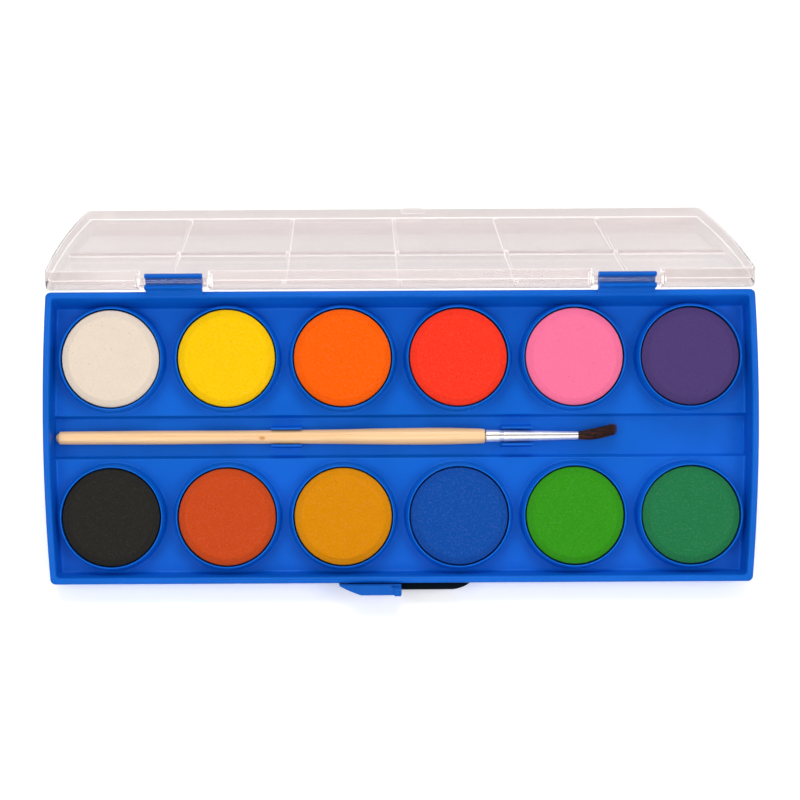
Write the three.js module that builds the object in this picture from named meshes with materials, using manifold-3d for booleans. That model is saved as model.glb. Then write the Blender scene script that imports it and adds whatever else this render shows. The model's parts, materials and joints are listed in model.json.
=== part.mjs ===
// A child's watercolour pan set, standing open like a low tent on a table.
//
// A shallow moulded tray holds twelve round paint tablets in raised collars and a brush in a
// channel between the two rows. A clear lid snaps onto two C-shaped clips behind the tray, and a
// small slider on a rail in front of the tray locks it. The lid is swung right back, so that the
// set stands on the tray's front edge and the lid's free edge with the paints facing forwards.
//
// Everything is drawn in the tray's own frame (X along the tray, +Y to the hinge, +Z out of the
// open tray, origin at the middle of its underside) with the lid shut. The lid is then turned
// about its hinge, and the whole set is tipped until both feet are level. Millimetres.

import * as THREE from "three";
import { mergeVertices } from "three/addons/utils/BufferGeometryUtils.js";
import Module from "manifold-3d";

// ---- Driving dimensions --------------------------------------------------------------------

const gap = 0.3; // between pieces that touch

// Paint tablets and the collars that hold them, in two rows.
const columns = 6;
const tablet_radius = 15;
const tablet_clearance = 0.45; // round each tablet, inside its collar
const tablet_height = 6.3;
const tablet_bevel = 2.35;
const tablet_bevel_height = 1.2;
const tablet_foot_chamfer = 0.4;
const collar_wall = 0.85;
const collar_height = 6;
const collar_draft = 0.3;
const collar_chamfer = 0.2;
const column_gap = 2.63; // between the feet of neighbouring collars
const channel_margin = 1.33; // from a collar's foot to the brush channel
const wall_margin = 3.92; // from a collar's foot to the outside of the front or back
const end_margin = 4.175; // from a collar's foot to the outside of the end

// Outline shared by the tray and the lid: straight front and back, bowed ends.
const end_bow = 1.6; // how much the ends draw in towards their corners
const end_taper = 0.6; // how much wider the hinge side is, on each side
const corner_radius = 1.7;

// Tray.
const tray_height = 11.5;
const tray_wall = 2.2;
const tray_draft = 0.6; // the outside draws in towards the foot
const foot_chamfer = 0.6;
const rim_chamfer = 0.4;
const floor_top = 3.6; // of the two paint rows
const floor_thickness = 1.4;
const back_slope = 2.6; // how far the inner back wall leans in at its foot
const front_slope = 0.7;
const end_slope = 0.4;
const channel_width = 12.3;
const channel_floor = 1.4;
const channel_draft = 0.45;
const skirt_wall = 2.8;
const colours = {
  white: 0xead9c6, yellow: 0xfdc804, orange: 0xfe6005, red: 0xfe3821, pink: 0xfc759e,
  violet: 0x4d3a6e, black: 0x272624, brown: 0xc7481c, ochre: 0xd88705, blue: 0x0f4ea5,
  light_green: 0x329118, dark_green: 0x217245,
};

// Brush: radii along its length, measured from the butt end.
const brush_lift = 2.6 + gap; // axis above the channel floor
const handle_length = 133.8;
const handle_radii = [[0, 0], [0.5, 1.1], [1.6, 1.75], [3.4, 2.05], [30, 2.15], [61, 2.1],
  [83, 2.25], [100, 2.5], [114, 2.64], [122, 2.65], [131, 2.4], [handle_length, 2.25]];
const tenon_length = 9;
const ferrule_length = 29;
const ferrule_radius = 1.9;
const ferrule_mouth = 1.25;
const ferrule_wall = 0.3;
const crimp_at = [4.4, 5.1];
const crimp_width = 0.3; // half of each groove's width
const crimp_depth = 0.12;
const tuft_length = 12.2;
const tuft_root = 6;
const tuft_radius = 1.9; // at its belly
const tuft_bend = 2.6; // sideways, at the tip
const clip_length = 9.6;
const clip_wall = 0.8;
const clip_height = 5.2;
const clip_clearance = 0.25; // round the handle, each side
const clip_places = [72, 143.7]; // along the brush: one clip on the handle, one on the ferrule

// Hinge: C clips on the tray, a pin between two ears on the lid.
const hinge_x = 69.5; // middle of each clip
const hinge_behind = 2.8; // axis behind the tray's back face
const hinge_above = 3; // axis above the tray's rim
const pin_radius = 1.2;
const knuckle_radius = 2.55;
const knuckle_length = 17.6;
const knuckle_mouth = THREE.MathUtils.degToRad(42); // half of the clip's open angle
const arm_inset = 1.3; // the clip's arm starts this far inside the tray's back face
const notch_length = 21.2;
const notch_depth = 1.6; // into the lid's plate
const ear_thickness = 1;
const ear_radius = 1.9;

// Lid.
const lid_opening = 252; // degrees from shut
const lid_height = 6.2;
const lid_wall = 1.5;
const lid_edge = 0.8;
const divider_width = 1;
const divider_height = 1.2;
const long_divider_width = 1.6;
const long_divider_height = 1.5;
const long_divider_y = 6;

// Latch: a dovetail rail on the tray's front, a slider on it, and a catch on the lid.
const latch_x = 0.7;
const rail_length = 42.3;
const rail_depth = 1.85;
const rail_front_height = 5;
const rail_back_height = 1.8;
const rail_end_taper = 5.7;
const rail_z = 7.1; // middle of the rail
const slider_length = 20.3;
const slider_depth = 3.35; // from the tray's front face to the slider's
const slider_skin = 0.9;
const slider_foot = 3.4;
const slider_lip = 1; // the lip that goes over the catch
const slider_end_taper = 7.45;
const slot_length = 3.1; // open end of the slot that takes the catch
const slot_depth = 0.75;
const nub_width = 2.2;
const nub_height = 0.25;
const nub_rise = 0.9;
const catch_x = 6.75;
const catch_length = 7.9;
const catch_depth = 1.5;
const catch_height = 1.8;

// ---- Derived places ------------------------------------------------------------------------

const collar_inner = tablet_radius + tablet_clearance;
const collar_foot = collar_inner + collar_wall + collar_draft;
const pitch = 2 * collar_foot + column_gap;
const row_y = channel_width / 2 + channel_draft + channel_margin + collar_foot;
const half_depth = row_y + collar_foot + wall_margin;
const half_width = (columns - 1) / 2 * pitch + collar_foot + end_margin; // mid-way along the ends
const hinge_y = half_depth + hinge_behind;
const hinge_z = tray_height + hinge_above;
const lid_rim = tray_height + gap;
const lid_top = lid_rim + lid_height;
const brush_z = channel_floor + brush_lift;
const brush_start = -(half_width - tray_wall - end_slope) + gap; // its butt, by the left wall
const slider_top = lid_rim + catch_height + gap + slider_lip;
const blue = 0x1259c9;

// ---- Solids from three.js geometry -----------------------------------------------------------

const wasm = await Module();
wasm.setup();

function solid(geometry) {
  const bare = geometry.clone();
  bare.deleteAttribute("normal");
  bare.deleteAttribute("uv");
  const merged = mergeVertices(bare, 1e-4);
  return new wasm.Manifold(new wasm.Mesh({
    numProp: 3,
    vertProperties: new Float32Array(merged.attributes.position.array),
    triVerts: new Uint32Array(merged.index.array),
  }));
}

function geometryOf(manifold) {
  const mesh = manifold.getMesh();
  const geometry = new THREE.BufferGeometry();
  geometry.setAttribute("position", new THREE.BufferAttribute(mesh.vertProperties, 3));
  geometry.setIndex(new THREE.BufferAttribute(mesh.triVerts, 1));
  geometry.computeVertexNormals();
  return geometry;
}

const joined = (solids) => solids.reduce((sum, next) => sum.add(next));

// A box given by its lowest and highest corner.
function box([x0, y0, z0], [x1, y1, z1]) {
  const geometry = new THREE.BoxGeometry(x1 - x0, y1 - y0, z1 - z0);
  return solid(geometry.translate((x0 + x1) / 2, (y0 + y1) / 2, (z0 + z1) / 2));
}

// A section drawn in (y, z), run along X from x0 to x1.
function prism(section, x0, x1, curveSegments = 12) {
  const shape = section instanceof THREE.Shape ? section : shapeOf(section);
  const geometry = new THREE.ExtrudeGeometry(shape, {
    depth: x1 - x0, bevelEnabled: false, curveSegments,
  });
  const toX = new THREE.Matrix4().makeBasis(
    new THREE.Vector3(0, 1, 0), new THREE.Vector3(0, 0, 1), new THREE.Vector3(1, 0, 0));
  return solid(geometry.applyMatrix4(toX).translate(x0, 0, 0));
}

const shapeOf = (points) => new THREE.Shape(points.map(([a, b]) => new THREE.Vector2(a, b)));

// A plan drawn in (x, y), raised from z0 to z1.
function slab(shape, z0, z1, curveSegments = 8) {
  const geometry = new THREE.ExtrudeGeometry(shape, {
    depth: z1 - z0, bevelEnabled: false, curveSegments,
  });
  return solid(geometry.translate(0, 0, z0));
}

// A profile of [radius, height] turned about Z.
const turned = (profile, segments = 32) =>
  new THREE.LatheGeometry(profile.map(([r, z]) => new THREE.Vector2(r, z)), segments)
    .rotateX(Math.PI / 2);

// The same, turned about X, with heights along X.
const turnedAlongX = (profile, segments = 20) => {
  const geometry = turned(profile, segments);
  return geometry.rotateY(Math.PI / 2);
};

// ---- The outline that tray and lid share -----------------------------------------------------

const side_steps = 8;
const corner_steps = 3;

function halfWidthAt(y) {
  const t = y / half_depth;
  return half_width + end_taper * t - end_bow * t * t;
}

function outline(inset) {
  const radius = Math.max(corner_radius - inset, 0.5);
  const reach = half_depth - inset - radius;
  const points = [];
  for (let i = 0; i <= side_steps; i++) {
    const y = THREE.MathUtils.lerp(-reach, reach, i / side_steps);
    points.push([halfWidthAt(y) - inset, y]);
  }
  for (let i = 1; i <= corner_steps; i++) {
    const angle = (i / corner_steps) * Math.PI / 2;
    const centre = halfWidthAt(reach) - inset - radius;
    points.push([centre + radius * Math.cos(angle), reach + radius * Math.sin(angle)]);
  }
  const right = points.slice();
  for (let i = right.length - 1; i >= 0; i--) points.push([-right[i][0], right[i][1]]);
  for (const side of [-1, 1]) {
    const centre = halfWidthAt(-reach) - inset - radius;
    for (let i = 1; i <= corner_steps; i++) {
      const turn = side < 0 ? i : corner_steps + 1 - i;
      const angle = (turn / corner_steps) * Math.PI / 2;
      const x = centre + radius * Math.cos(angle);
      points.push([side * x, -reach - radius * Math.sin(angle)]);
    }
  }
  return points;
}

// The outline stacked in levels of [inset, z], from the lowest up, and capped.
function stack(levels) {
  const loops = levels.map(([inset, z]) => outline(inset).map(([x, y]) => [x, y, z]));
  const count = loops[0].length;
  const index = [];
  for (let level = 0; level + 1 < loops.length; level++) {
    for (let i = 0; i < count; i++) {
      const a = level * count + i;
      const b = level * count + (i + 1) % count;
      index.push(a, b, b + count, a, b + count, a + count);
    }
  }
  const cap = (loop) => THREE.ShapeUtils.triangulateShape(
    loop.map(([x, y]) => new THREE.Vector2(x, y)), []);
  const last = (loops.length - 1) * count;
  for (const [a, b, c] of cap(loops[0])) index.push(a, c, b);
  for (const [a, b, c] of cap(loops[loops.length - 1])) index.push(last + a, last + b, last + c);
  const geometry = new THREE.BufferGeometry();
  geometry.setAttribute("position", new THREE.Float32BufferAttribute(loops.flat(2), 3));
  geometry.setIndex(index);
  return solid(geometry);
}

// ---- Tray ------------------------------------------------------------------------------------

const tabletPlaces = [];
for (const side of [1, -1]) {
  for (let column = 0; column < columns; column++) {
    tabletPlaces.push([(column - (columns - 1) / 2) * pitch, side * row_y]);
  }
}

function trayCavity() {
  const inner = half_depth - tray_wall;
  const channel = channel_width / 2;
  const above = tray_height + 1;
  const section = [
    [-inner, above], [-inner, tray_height], [-inner + front_slope, floor_top],
    [-channel - channel_draft, floor_top], [-channel, channel_floor],
    [channel, channel_floor], [channel + channel_draft, floor_top],
    [inner - back_slope, floor_top], [inner, tray_height], [inner, above],
  ];
  const ends = stack([[tray_wall + end_slope, channel_floor - 1], [tray_wall, tray_height],
    [tray_wall, above + 1]]);
  return prism(section, -half_width, half_width).intersect(ends);
}

// The hollows under the two paint rows.
function undersidePockets() {
  const from = channel_width / 2 + channel_draft + floor_thickness;
  const whole = stack([[skirt_wall, -1], [skirt_wall + 0.2, floor_top - floor_thickness]]);
  const bridge = box([-half_width, -from, -2], [half_width, from, tray_height]);
  return whole.subtract(bridge);
}

function collar() {
  const inner = collar_inner;
  const outer = collar_inner + collar_wall;
  const foot = floor_top - 0.2;
  const top = floor_top + collar_height;
  return solid(turned([[inner, foot], [collar_foot, foot], [outer, top - collar_chamfer],
    [outer - collar_chamfer, top], [inner, top], [inner, foot]]));
}

// Two upright arms that grip the brush.
function brushClip(x) {
  const inner = handleRadiusAt(clip_places[0]) + clip_clearance;
  const arms = [-1, 1].map((side) => {
    const ys = [side * inner, side * (inner + clip_wall)].sort((a, b) => a - b);
    return box([x - clip_length / 2, ys[0], channel_floor - 0.3],
      [x + clip_length / 2, ys[1], channel_floor + clip_height]);
  });
  return joined(arms);
}

// A C clip, open upwards, on a short arm from the tray's back wall.
function hingeKnuckle(x) {
  const c = new THREE.Shape();
  const from = Math.PI / 2 + knuckle_mouth;
  const to = Math.PI / 2 - knuckle_mouth + 2 * Math.PI;
  c.absarc(hinge_y, hinge_z, knuckle_radius, from, to, false);
  c.absarc(hinge_y, hinge_z, pin_radius + gap, to, from, true);
  const root = half_depth - arm_inset;
  const arm = [[root, tray_height - 1.6], [hinge_y - 0.8, hinge_z - 2.3],
    [hinge_y - 1.6, hinge_z - 0.6], [root + 0.7, tray_height + 1.3], [root, tray_height + 0.4]];
  const ends = [x - knuckle_length / 2, x + knuckle_length / 2];
  const bore = turned([[0, ends[0] - 1], [pin_radius + gap, ends[0] - 1],
    [pin_radius + gap, ends[1] + 1], [0, ends[1] + 1]], 24)
    .rotateY(Math.PI / 2).translate(0, hinge_y, hinge_z);
  return prism(c, ...ends).add(prism(arm, ...ends).subtract(solid(bore)));
}

function makeTray() {
  const body = stack([[tray_draft + foot_chamfer, 0], [tray_draft, foot_chamfer],
    [0, tray_height - rim_chamfer], [rim_chamfer, tray_height]]);
  const ring = collar();
  const collars = tabletPlaces.map(([x, y]) => ring.translate([x, y, 0]));
  return joined([
    body.subtract(trayCavity()).subtract(undersidePockets()),
    ...collars,
    ...clip_places.map((along) => brushClip(brush_start + along)),
    ...[-1, 1].map((side) => hingeKnuckle(side * hinge_x)),
  ]);
}

function makeTablet() {
  const bottom = floor_top + gap;
  const top = bottom + tablet_height;
  return turned([
    [0, bottom], [tablet_radius - tablet_foot_chamfer, bottom],
    [tablet_radius, bottom + tablet_foot_chamfer], [tablet_radius, top - tablet_bevel_height],
    [tablet_radius - tablet_bevel, top], [0, top],
  ]);
}

// ---- Lid, drawn shut -------------------------------------------------------------------------

function makeLid() {
  const outer = stack([[0, lid_rim], [0, lid_top - lid_edge],
    [lid_edge * 0.3, lid_top - lid_edge * 0.3], [lid_edge, lid_top]]);
  const ceiling = lid_top - lid_wall;
  const inner = stack([[lid_wall, lid_rim - 1], [lid_wall, ceiling - 0.5],
    [lid_wall + 0.5, ceiling]]);
  const reach = half_depth - lid_wall / 2;
  const dividers = [-2, -1, 0, 1, 2].map((column) => box(
    [column * pitch - divider_width / 2, -reach, ceiling - divider_height],
    [column * pitch + divider_width / 2, reach, ceiling + 0.5]));
  const span = half_width - end_bow - lid_wall;
  dividers.push(box(
    [-span, long_divider_y - long_divider_width / 2, ceiling - long_divider_height],
    [span, long_divider_y + long_divider_width / 2, ceiling + 0.5]));
  const notches = [-1, 1].map((side) => box(
    [side * hinge_x - notch_length / 2, half_depth - notch_depth - lid_wall, lid_rim - 1],
    [side * hinge_x + notch_length / 2, half_depth + 1, lid_top + 1]));
  const catchTab = box([catch_x - catch_length / 2, -half_depth - catch_depth, lid_rim],
    [catch_x + catch_length / 2, -half_depth + 0.5, lid_rim + catch_height]);
  return joined([
    outer.subtract(inner).add(joined(dividers)).subtract(joined(notches)),
    ...[-1, 1].map((side) => lidPivot(side * hinge_x)),
    catchTab,
  ]);
}

// Two ears with a pin between them.
function lidPivot(x) {
  const ear = new THREE.Shape();
  ear.moveTo(half_depth - lid_wall / 2, hinge_z - ear_radius + 0.2);
  ear.lineTo(hinge_y, hinge_z - ear_radius);
  ear.absarc(hinge_y, hinge_z, ear_radius, -Math.PI / 2, Math.PI / 2, false);
  ear.lineTo(half_depth - lid_wall / 2, hinge_z + ear_radius + 0.6);
  const inside = notch_length / 2;
  const ears = [-1, 1].map((side) => {
    const ends = [x + side * inside, x + side * (inside + ear_thickness)].sort((a, b) => a - b);
    return prism(ear, ...ends, 8);
  });
  const reach = inside + ear_thickness / 2;
  const pin = turnedAlongX([[0, -reach], [pin_radius, -reach], [pin_radius, reach], [0, reach]]);
  return joined([...ears, solid(pin.translate(x, hinge_y, hinge_z))]);
}

// ---- Brush, lying along X --------------------------------------------------------------------

function handleRadiusAt(along) {
  const next = handle_radii.findIndex(([x]) => x >= along);
  const [[x0, r0], [x1, r1]] = [handle_radii[next - 1], handle_radii[next]];
  return THREE.MathUtils.mapLinear(along, x0, x1, r0, r1);
}

function makeHandle() {
  const tenon = ferrule_mouth - ferrule_wall;
  const profile = [...handle_radii,
    [handle_length, tenon], [handle_length + tenon_length, tenon],
    [handle_length + tenon_length, 0]];
  return turnedAlongX(profile.map(([x, r]) => [r, x])).translate(brush_start, 0, brush_z);
}

function makeFerrule() {
  const start = handle_length + gap;
  const end = start + ferrule_length - gap;
  const radiusAt = (x) =>
    THREE.MathUtils.mapLinear(x, start, end, ferrule_radius, ferrule_mouth);
  const outer = [[start, radiusAt(start)]];
  for (const at of crimp_at) {
    const x = start + at;
    outer.push([x - crimp_width, radiusAt(x - crimp_width)], [x, radiusAt(x) - crimp_depth],
      [x + crimp_width, radiusAt(x + crimp_width)]);
  }
  outer.push([end, radiusAt(end)]);
  const inner = [[end, radiusAt(end) - ferrule_wall], [start + tenon_length, ferrule_mouth],
    [start, ferrule_radius - ferrule_wall], outer[0]];
  return turnedAlongX([...outer, ...inner].map(([x, r]) => [r, x]))
    .translate(brush_start, 0, brush_z);
}

// The tuft: a root inside the ferrule, a belly, and a tip that leans to +Y.
function makeTuft() {
  const start = handle_length + ferrule_length;
  const root = ferrule_mouth - ferrule_wall - gap;
  const profile = [[-tuft_root, 0], [-tuft_root, root], [0.3, root], [0.35, ferrule_mouth - 0.05],
    [3, 1.5], [6.5, tuft_radius], [9.5, 1.7], [11.4, 1.1], [tuft_length, 0]];
  const geometry = turnedAlongX(profile.map(([x, r]) => [r, x]));
  const place = geometry.attributes.position;
  for (let i = 0; i < place.count; i++) {
    const along = Math.max(place.getX(i), 0) / tuft_length;
    place.setY(i, place.getY(i) + tuft_bend * along * along);
  }
  return geometry.translate(brush_start + start, 0, brush_z);
}

// ---- Latch -----------------------------------------------------------------------------------

// A plan whose left or right end draws in as it leaves the tray.
function taperedPlan(x0, x1, depth, leftTaper, rightTaper) {
  const back = -half_depth;
  const front = back - depth;
  const plan = new THREE.Shape();
  plan.moveTo(x1, back);
  plan.lineTo(x0, back);
  plan.quadraticCurveTo(x0 + leftTaper * 0.45, back - depth * 0.62, x0 + leftTaper, front);
  plan.lineTo(x1 - rightTaper, front);
  plan.quadraticCurveTo(x1 - rightTaper * 0.35, back - depth * 0.8, x1, back);
  return plan;
}

const railBack = -half_depth - gap;
const railFront = railBack - rail_depth;
const rail_slope = (rail_front_height - rail_back_height) / 2 / rail_depth;

function makeRail() {
  const section = [
    [railBack, rail_z - rail_back_height / 2], [railBack, rail_z + rail_back_height / 2],
    [railFront, rail_z + rail_front_height / 2], [railFront, rail_z - rail_front_height / 2],
  ];
  const x0 = latch_x - rail_length / 2;
  const plan = taperedPlan(x0, x0 + rail_length, rail_depth + gap, rail_end_taper, rail_end_taper);
  return prism(section, x0, x0 + rail_length).intersect(slab(plan, 0, tray_height));
}

function makeSlider() {
  const back = railBack;
  const front = -half_depth - slider_depth;
  const pocketFront = front + slider_skin;
  const clearance = gap * Math.hypot(1, rail_slope);
  const lipHalf = rail_back_height / 2 + clearance;
  const pocketHalf = rail_front_height / 2 + gap;
  const shoulder = back - (pocketHalf - lipHalf) / rail_slope;
  const section = [
    [back, slider_foot], [back, rail_z - lipHalf], [shoulder, rail_z - pocketHalf],
    [pocketFront, rail_z - pocketHalf], [pocketFront, rail_z + pocketHalf],
    [shoulder, rail_z + pocketHalf], [back, rail_z + lipHalf], [back, lid_rim - 2 * gap],
    [pocketFront, lid_rim - 2 * gap], [pocketFront, slider_top - slider_lip],
    [back, slider_top - slider_lip], [back, slider_top], [front, slider_top],
    [front, slider_foot],
  ];
  const x0 = latch_x - rail_length / 2;
  const x1 = x0 + slider_length;
  const plan = taperedPlan(x0, x1, slider_depth, slider_end_taper, 0);
  const slotFront = back - slot_depth;
  const slotEnd = box([x1 - slot_length, slotFront, slider_top - slider_lip - 0.1],
    [x1 + 1, back + 1, slider_top + 1]);
  const body = prism(section, x0, x1).intersect(slab(plan, 0, slider_top + 1)).subtract(slotEnd);
  const nub = box([x1 - nub_width, front - nub_height, slider_foot + 1],
    [x1 - 0.2, front + slider_skin / 2, slider_top + nub_rise]);
  const ridge = box([x1 - nub_width, front, slider_top - slider_lip / 2],
    [x1 - 0.2, slotFront - 0.15, slider_top + nub_rise]);
  return joined([body, nub, ridge]);
}

// ---- Assembly --------------------------------------------------------------------------------

function named(name, geometry, color, roughness, metalness = 0) {
  const material = new THREE.MeshStandardMaterial({ color, roughness, metalness });
  const mesh = new THREE.Mesh(geometry, material);
  mesh.name = name;
  return mesh;
}

const traySide = new THREE.Group();
traySide.add(named("tray", geometryOf(makeTray()), blue, 0.35));
Object.entries(colours).forEach(([name, color], i) => {
  const [x, y] = tabletPlaces[i];
  const tablet = named(`tablet_${name}`, makeTablet(), color, 0.9);
  tablet.position.set(x, y, 0);
  traySide.add(tablet);
});
traySide.add(named("brush_handle", makeHandle(), 0xf5d6a0, 0.6));
traySide.add(named("brush_ferrule", makeFerrule(), 0xd8dad8, 0.2, 1));
traySide.add(named("brush_tuft", makeTuft(), 0x38201a, 0.7));
traySide.add(named("latch_rail", geometryOf(makeRail()), 0x0a171c, 0.45));
traySide.add(named("latch_slider", geometryOf(makeSlider()), blue, 0.35));

// The lid turns about the hinge, backwards from shut.
const lidSide = new THREE.Group();
lidSide.position.set(0, hinge_y, hinge_z);
lidSide.rotation.x = -THREE.MathUtils.degToRad(lid_opening);
const lid = named("lid", geometryOf(makeLid()), 0xe6dedc, 0.1);
lid.position.set(0, -hinge_y, -hinge_z);
lidSide.add(lid);

// The set stands on the tray's front foot and on the lid's free top edge.
const opening = THREE.MathUtils.degToRad(lid_opening);
const reach_out = -half_depth + lid_edge - hinge_y;
const rise = lid_top - hinge_z;
const lidFoot = new THREE.Vector2(
  hinge_y + reach_out * Math.cos(opening) + rise * Math.sin(opening),
  hinge_z - reach_out * Math.sin(opening) + rise * Math.cos(opening));
const trayFoot = new THREE.Vector2(-half_depth + tray_draft + foot_chamfer, 0);
const tilt = Math.atan2(trayFoot.y - lidFoot.y, lidFoot.x - trayFoot.x);

const watercolour_set = new THREE.Group();
const stand = new THREE.Group();
stand.rotation.x = tilt;
stand.add(traySide, lidSide);
watercolour_set.add(stand);
const bounds = new THREE.Box3().setFromObject(watercolour_set, true);
stand.position.set(0, -(bounds.min.y + bounds.max.y) / 2, -bounds.min.z);

export default watercolour_set;
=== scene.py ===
"""A child's watercolour pan set, standing open like a low tent: visual model round the CAD frame.

Shapes are drawn in millimetres in the tray's own frame (X along the tray, +Y to the hinge, +Z out
of the open tray, origin at the middle of its underside), with the lid shut. TRAY and LID carry
those millimetres into the row's frame in metres.
"""
import json
import math
import random

import bmesh
import bpy
from mathutils import Matrix, Vector, noise


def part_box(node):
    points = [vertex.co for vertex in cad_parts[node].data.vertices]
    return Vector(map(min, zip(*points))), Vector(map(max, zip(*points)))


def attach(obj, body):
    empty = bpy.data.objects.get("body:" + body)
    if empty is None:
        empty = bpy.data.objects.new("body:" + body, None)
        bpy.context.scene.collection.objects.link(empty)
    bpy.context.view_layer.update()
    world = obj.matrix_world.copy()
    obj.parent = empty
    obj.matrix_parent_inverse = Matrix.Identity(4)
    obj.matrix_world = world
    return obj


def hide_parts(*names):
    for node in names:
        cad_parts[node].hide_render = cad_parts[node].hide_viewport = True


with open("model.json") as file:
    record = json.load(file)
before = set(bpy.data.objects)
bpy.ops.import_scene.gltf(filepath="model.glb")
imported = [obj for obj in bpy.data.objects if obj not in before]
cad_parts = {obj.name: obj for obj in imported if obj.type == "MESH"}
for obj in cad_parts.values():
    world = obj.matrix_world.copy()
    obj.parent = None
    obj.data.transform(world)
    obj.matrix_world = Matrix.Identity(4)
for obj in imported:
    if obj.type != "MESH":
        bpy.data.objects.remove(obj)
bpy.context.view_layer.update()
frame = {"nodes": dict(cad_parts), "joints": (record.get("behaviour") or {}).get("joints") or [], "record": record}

joints = {joint["name"]: joint for joint in frame["joints"]}
mounts = {mount["name"]: mount for mount in frame["record"]["mounts"]}

# ---- Frames, from the record ----------------------------------------------------------------

MM = 0.001
up = Vector(joints["brush_lift"]["axis"]).normalized()
right = Vector((1, 0, 0))
forward = up.cross(right)
axes = Matrix((right, forward, up)).transposed().to_4x4()
TRAY = Matrix.Translation(mounts["tray_underside"]["pos_m"]) @ axes @ Matrix.Scale(MM, 4)
hinge = TRAY.inverted() @ Vector(joints["lid_hinge"]["pos_m"])
swing = math.radians(joints["lid_hinge"]["range_deg"][1])
LID = (TRAY @ Matrix.Translation(hinge) @ Matrix.Rotation(-swing, 4, "X")
       @ Matrix.Translation(-hinge))


def local_middle(node):
    low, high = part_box(node)
    return TRAY.inverted() @ ((low + high) / 2)


# ---- Sizes, in millimetres ------------------------------------------------------------------

GAP = 0.3
PAST = 1.0  # how far a cutter runs past what it cuts
SUNK = 0.6  # how far an added wall sinks into the plate that carries it
END_BOW = 1.6
END_TAPER = 0.6
CORNER_RADIUS = 1.7
INNER_CORNER_RADIUS = 0.9
HINGE_BEHIND = 2.8
HALF_DEPTH = hinge.y - HINGE_BEHIND
HALF_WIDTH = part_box("tray")[1].x / MM - END_TAPER**2 / (4 * END_BOW)

TRAY_HEIGHT = 11.5
TRAY_WALL = 2.2
TRAY_DRAFT = 0.6
FOOT_RADIUS = 0.6
RIM_RADIUS = 1.02
FLOOR_TOP = 3.6
FLOOR_THICKNESS = 1.4
FLOOR_FILLET = 0.9
BACK_SLOPE = 2.6
FRONT_SLOPE = 0.7
END_SLOPE = 0.4
SKIRT_WALL = 2.8
CHANNEL_WIDTH = 12.3
CHANNEL_FLOOR = 1.4
CHANNEL_DRAFT = 0.45
CHANNEL_FILLET = 0.7
CHANNEL_EDGE = 0.45
CHANNEL_END_RADIUS = 0.5
CHANNEL_CUT_RISE = 1.5
HOLLOW_RADIUS = 0.5

TABLET_RADIUS = 15.0
TABLET_HEIGHT = 6.3
TABLET_CLEARANCE = 0.45
TABLET_BEVEL = 2.35
TABLET_BEVEL_START = 1.75
TABLET_EDGE_RADIUS = 0.4
TABLET_FOOT = 0.6
TABLET_DISH = 0.1
COLLAR_INNER = TABLET_RADIUS + TABLET_CLEARANCE
COLLAR_WALL = 0.85
COLLAR_LIP = 0.38
COLLAR_HEIGHT = 6.0
COLLAR_DRAFT = 0.3
COLLAR_FILLET = 0.8
COLLAR_SUNK = 0.4
COLLAR_LIP_RADIUS = 0.14
COLLAR_MOUTH_RADIUS = 0.12
COLLAR_SHOULDER_RADIUS = 0.5
COLLAR_SHOULDER_DROP = 1.2
FLARE_OVERLAP = 0.04

CLIP_LENGTH = 9.6
CLIP_INNER = 2.45
CLIP_WALL = 0.8
CLIP_HEIGHT = 5.2
CLIP_SUNK = 0.3
CLIP_LIP_RADIUS = 0.34
CLIP_LIP_DROP = 0.4
CLIP_EDGE_RADIUS = 0.12
CLIP_PLACES = (72.0, 143.7)

HINGE_X = 69.5
PIN_RADIUS = 1.2
KNUCKLE_RADIUS = 2.55
KNUCKLE_LENGTH = 17.6
KNUCKLE_MOUTH = 42
KNUCKLE_EDGE_RADIUS = 0.15
ARM_INSET = 1.3
NOTCH_LENGTH = 21.2
NOTCH_DEPTH = 1.6
EAR_THICKNESS = 1.0
EAR_RADIUS = 1.9
EAR_EDGE_RADIUS = 0.15
NOTCH_RADIUS = 0.5

LID_RIM = TRAY_HEIGHT + GAP
LID_HEIGHT = 6.2
LID_WALL = 1.5
LID_EDGE = 0.9
LID_STEP = 0.5
LID_STEP_HEIGHT = 3.3
LID_FOOT_RADIUS = 0.25
LID_STEP_RADIUS = 0.2
LID_CORNER_RADIUS = 0.35
PITCH = local_middle("tablet_yellow").x - local_middle("tablet_white").x
DIVIDER_WIDTH = 1.0
DIVIDER_HEIGHT = 1.2
LONG_DIVIDER_WIDTH = 1.6
LONG_DIVIDER_HEIGHT = 1.5
LONG_DIVIDER_Y = 6.0
LONG_DIVIDER_TAPER = 0.55
DIVIDER_RADIUS = 0.3
SHORT_DIVIDERS = 5
CATCH_X = 6.75
CATCH_LENGTH = 7.9
CATCH_DEPTH = 1.5
CATCH_HEIGHT = 1.8
CATCH_RADIUS = 0.3

# ---- Mesh tools -----------------------------------------------------------------------------


def piece(name, points, faces):
    """A mesh object with its faces turned outwards."""
    mesh = bpy.data.meshes.new(name)
    mesh.from_pydata([Vector(p) for p in points], [], faces)
    shape = bpy.data.objects.new(name, mesh)
    bpy.context.scene.collection.objects.link(shape)
    rework(shape, lambda bm: bmesh.ops.recalc_face_normals(bm, faces=bm.faces))
    return shape


def rework(shape, change):
    bm = bmesh.new()
    bm.from_mesh(shape.data)
    change(bm)
    bm.to_mesh(shape.data)
    bm.free()


def rounded(shape, width, segments=3, angle=25):
    """The same solid with its sharp edges rounded."""
    def change(bm):
        sharp = [e for e in bm.edges if e.calc_face_angle(0) > math.radians(angle)]
        bmesh.ops.bevel(bm, geom=sharp, offset=width, segments=segments, profile=0.5,
                        affect="EDGES", clamp_overlap=True)
    rework(shape, change)
    return shape


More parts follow.
